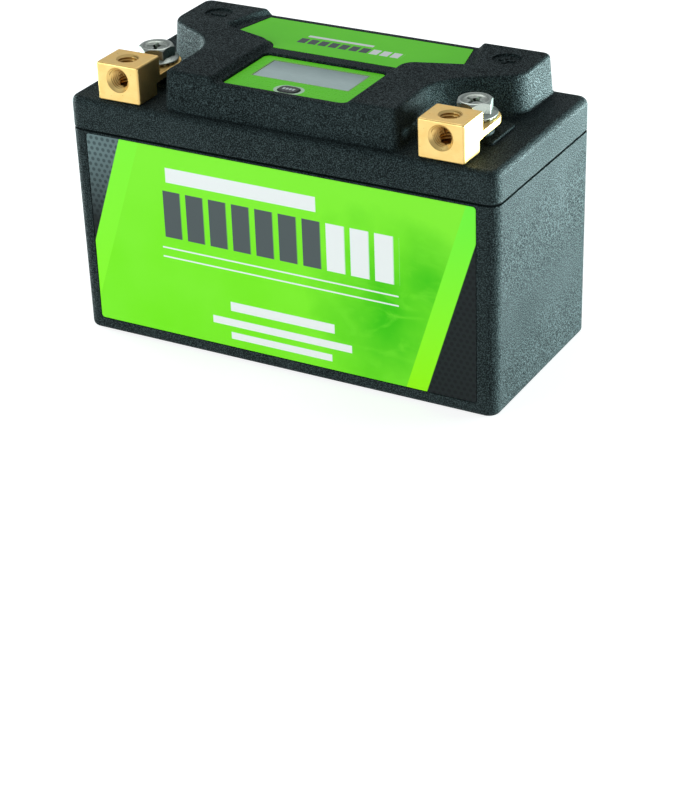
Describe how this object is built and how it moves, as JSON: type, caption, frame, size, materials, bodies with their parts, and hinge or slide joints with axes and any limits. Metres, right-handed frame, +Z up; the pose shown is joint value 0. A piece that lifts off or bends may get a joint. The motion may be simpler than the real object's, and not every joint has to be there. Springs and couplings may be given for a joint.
{
  "type": "motorcycle battery",
  "caption": "Flat rectangular black battery with a stepped lid, brass terminal blocks on hex bolts, a printed front label, a small charge display and a test button.",
  "frame": {"origin": "centre of the base, on the surface the battery stands on", "axes": "+X along the long side towards the positive terminal, -Y out of the labelled front, +Z up"},
  "size_m": [0.15, 0.068, 0.0937],
  "materials": {
    "shell_plastic": "satin, fine moulded grain",
    "front_print": "gloss printed vinyl",
    "top_print": "gloss printed vinyl",
    "display_print": "satin printed polycarbonate",
    "window_clear": "clear, polished",
    "lcd": "grey liquid crystal glass",
    "white_plastic": "matte white",
    "button_plastic": "satin dark grey",
    "switch_plastic": "matte black",
    "frame_plastic": "matte black",
    "circuit_board": "green solder mask",
    "brass": "machined, bright",
    "zinc_steel": "bright zinc plated",
    "small_screws": "nickel plated",
    "copper": "bare copper",
    "cell_sleeve": "blue shrink sleeve over an aluminium can",
    "foam": "closed-cell foam",
    "wire_red": "silicone insulation",
    "wire_black": "silicone insulation"
  },
  "bodies": {
    "root": {"case": "shell_plastic", "lid": "shell_plastic", "front_label": "front_print", "top_label": "top_print", "display_overlay": "display_print", "display_window": "window_clear", "lcd_glass": "lcd", "lcd_backlight": "white_plastic", "sense_connector": "white_plastic", "test_switch": "switch_plastic", "cell_frame": "frame_plastic", "display_board": "circuit_board", "balance_board": "circuit_board", "terminal_block_negative": "brass", "terminal_block_positive": "brass", "terminal_insert_negative": "brass", "terminal_insert_positive": "brass", "terminal_nut_negative": "brass", "terminal_nut_positive": "brass", "display_screw_left": "small_screws", "display_screw_right": "small_screws", "balance_screw_left": "small_screws", "balance_screw_right": "small_screws", "cell_screw_1": "small_screws", "cell_screw_2": "small_screws", "cell_screw_3": "small_screws", "cell_screw_4": "small_screws", "cell_screw_5": "small_screws", "cell_screw_6": "small_screws", "cell_screw_7": "small_screws", "cell_screw_8": "small_screws", "busbar_1_2": "copper", "busbar_2_3": "copper", "busbar_3_4": "copper", "strip_negative": "copper", "strip_positive": "copper", "cell_1": "cell_sleeve", "cell_2": "cell_sleeve", "cell_3": "cell_sleeve", "cell_4": "cell_sleeve", "cell_pad_1": "foam", "cell_pad_2": "foam", "cell_pad_3": "foam", "end_foam_left": "foam", "end_foam_right": "foam", "base_foam": "foam", "sense_wire_2": "wire_red", "sense_wire_3": "wire_red", "sense_wire_4": "wire_red", "sense_wire_5": "wire_red", "display_lead_positive": "wire_red", "sense_wire_1": "wire_black", "display_lead_negative": "wire_black"},
    "test_button": {"test_button": "button_plastic"},
    "washer_negative": {"terminal_washer_negative": "zinc_steel"},
    "washer_positive": {"terminal_washer_positive": "zinc_steel"},
    "bolt_negative": {"terminal_bolt_negative": "zinc_steel"},
    "bolt_positive": {"terminal_bolt_positive": "zinc_steel"}
  },
  "joints": [
    {"name": "test_button_press", "type": "slide", "parent": "root", "child": "test_button", "axis": [0, 0, -1], "range_m": [0, 0.0005], "stiffness_N_per_m": 600},
    {"name": "bolt_lift_negative", "type": "slide", "parent": "root", "child": "washer_negative", "axis": [0, 0, 1], "range_m": [0, 0.008]},
    {"name": "bolt_turn_negative", "type": "hinge", "parent": "washer_negative", "child": "bolt_negative", "pos_m": [-0.0562, -0.0097, 0.088], "axis": [0, 0, 1], "range_deg": [0, 2880]},
    {"name": "bolt_lift_positive", "type": "slide", "parent": "root", "child": "washer_positive", "axis": [0, 0, 1], "range_m": [0, 0.008]},
    {"name": "bolt_turn_positive", "type": "hinge", "parent": "washer_positive", "child": "bolt_positive", "pos_m": [0.0562, -0.0097, 0.088], "axis": [0, 0, 1], "range_deg": [0, 2880]}
  ],
  "couplings": [
    {"joint": "bolt_turn_negative", "follows": "bolt_lift_negative", "rad_per_m": 6283.2},
    {"joint": "bolt_turn_positive", "follows": "bolt_lift_positive", "rad_per_m": 6283.2}
  ]
}
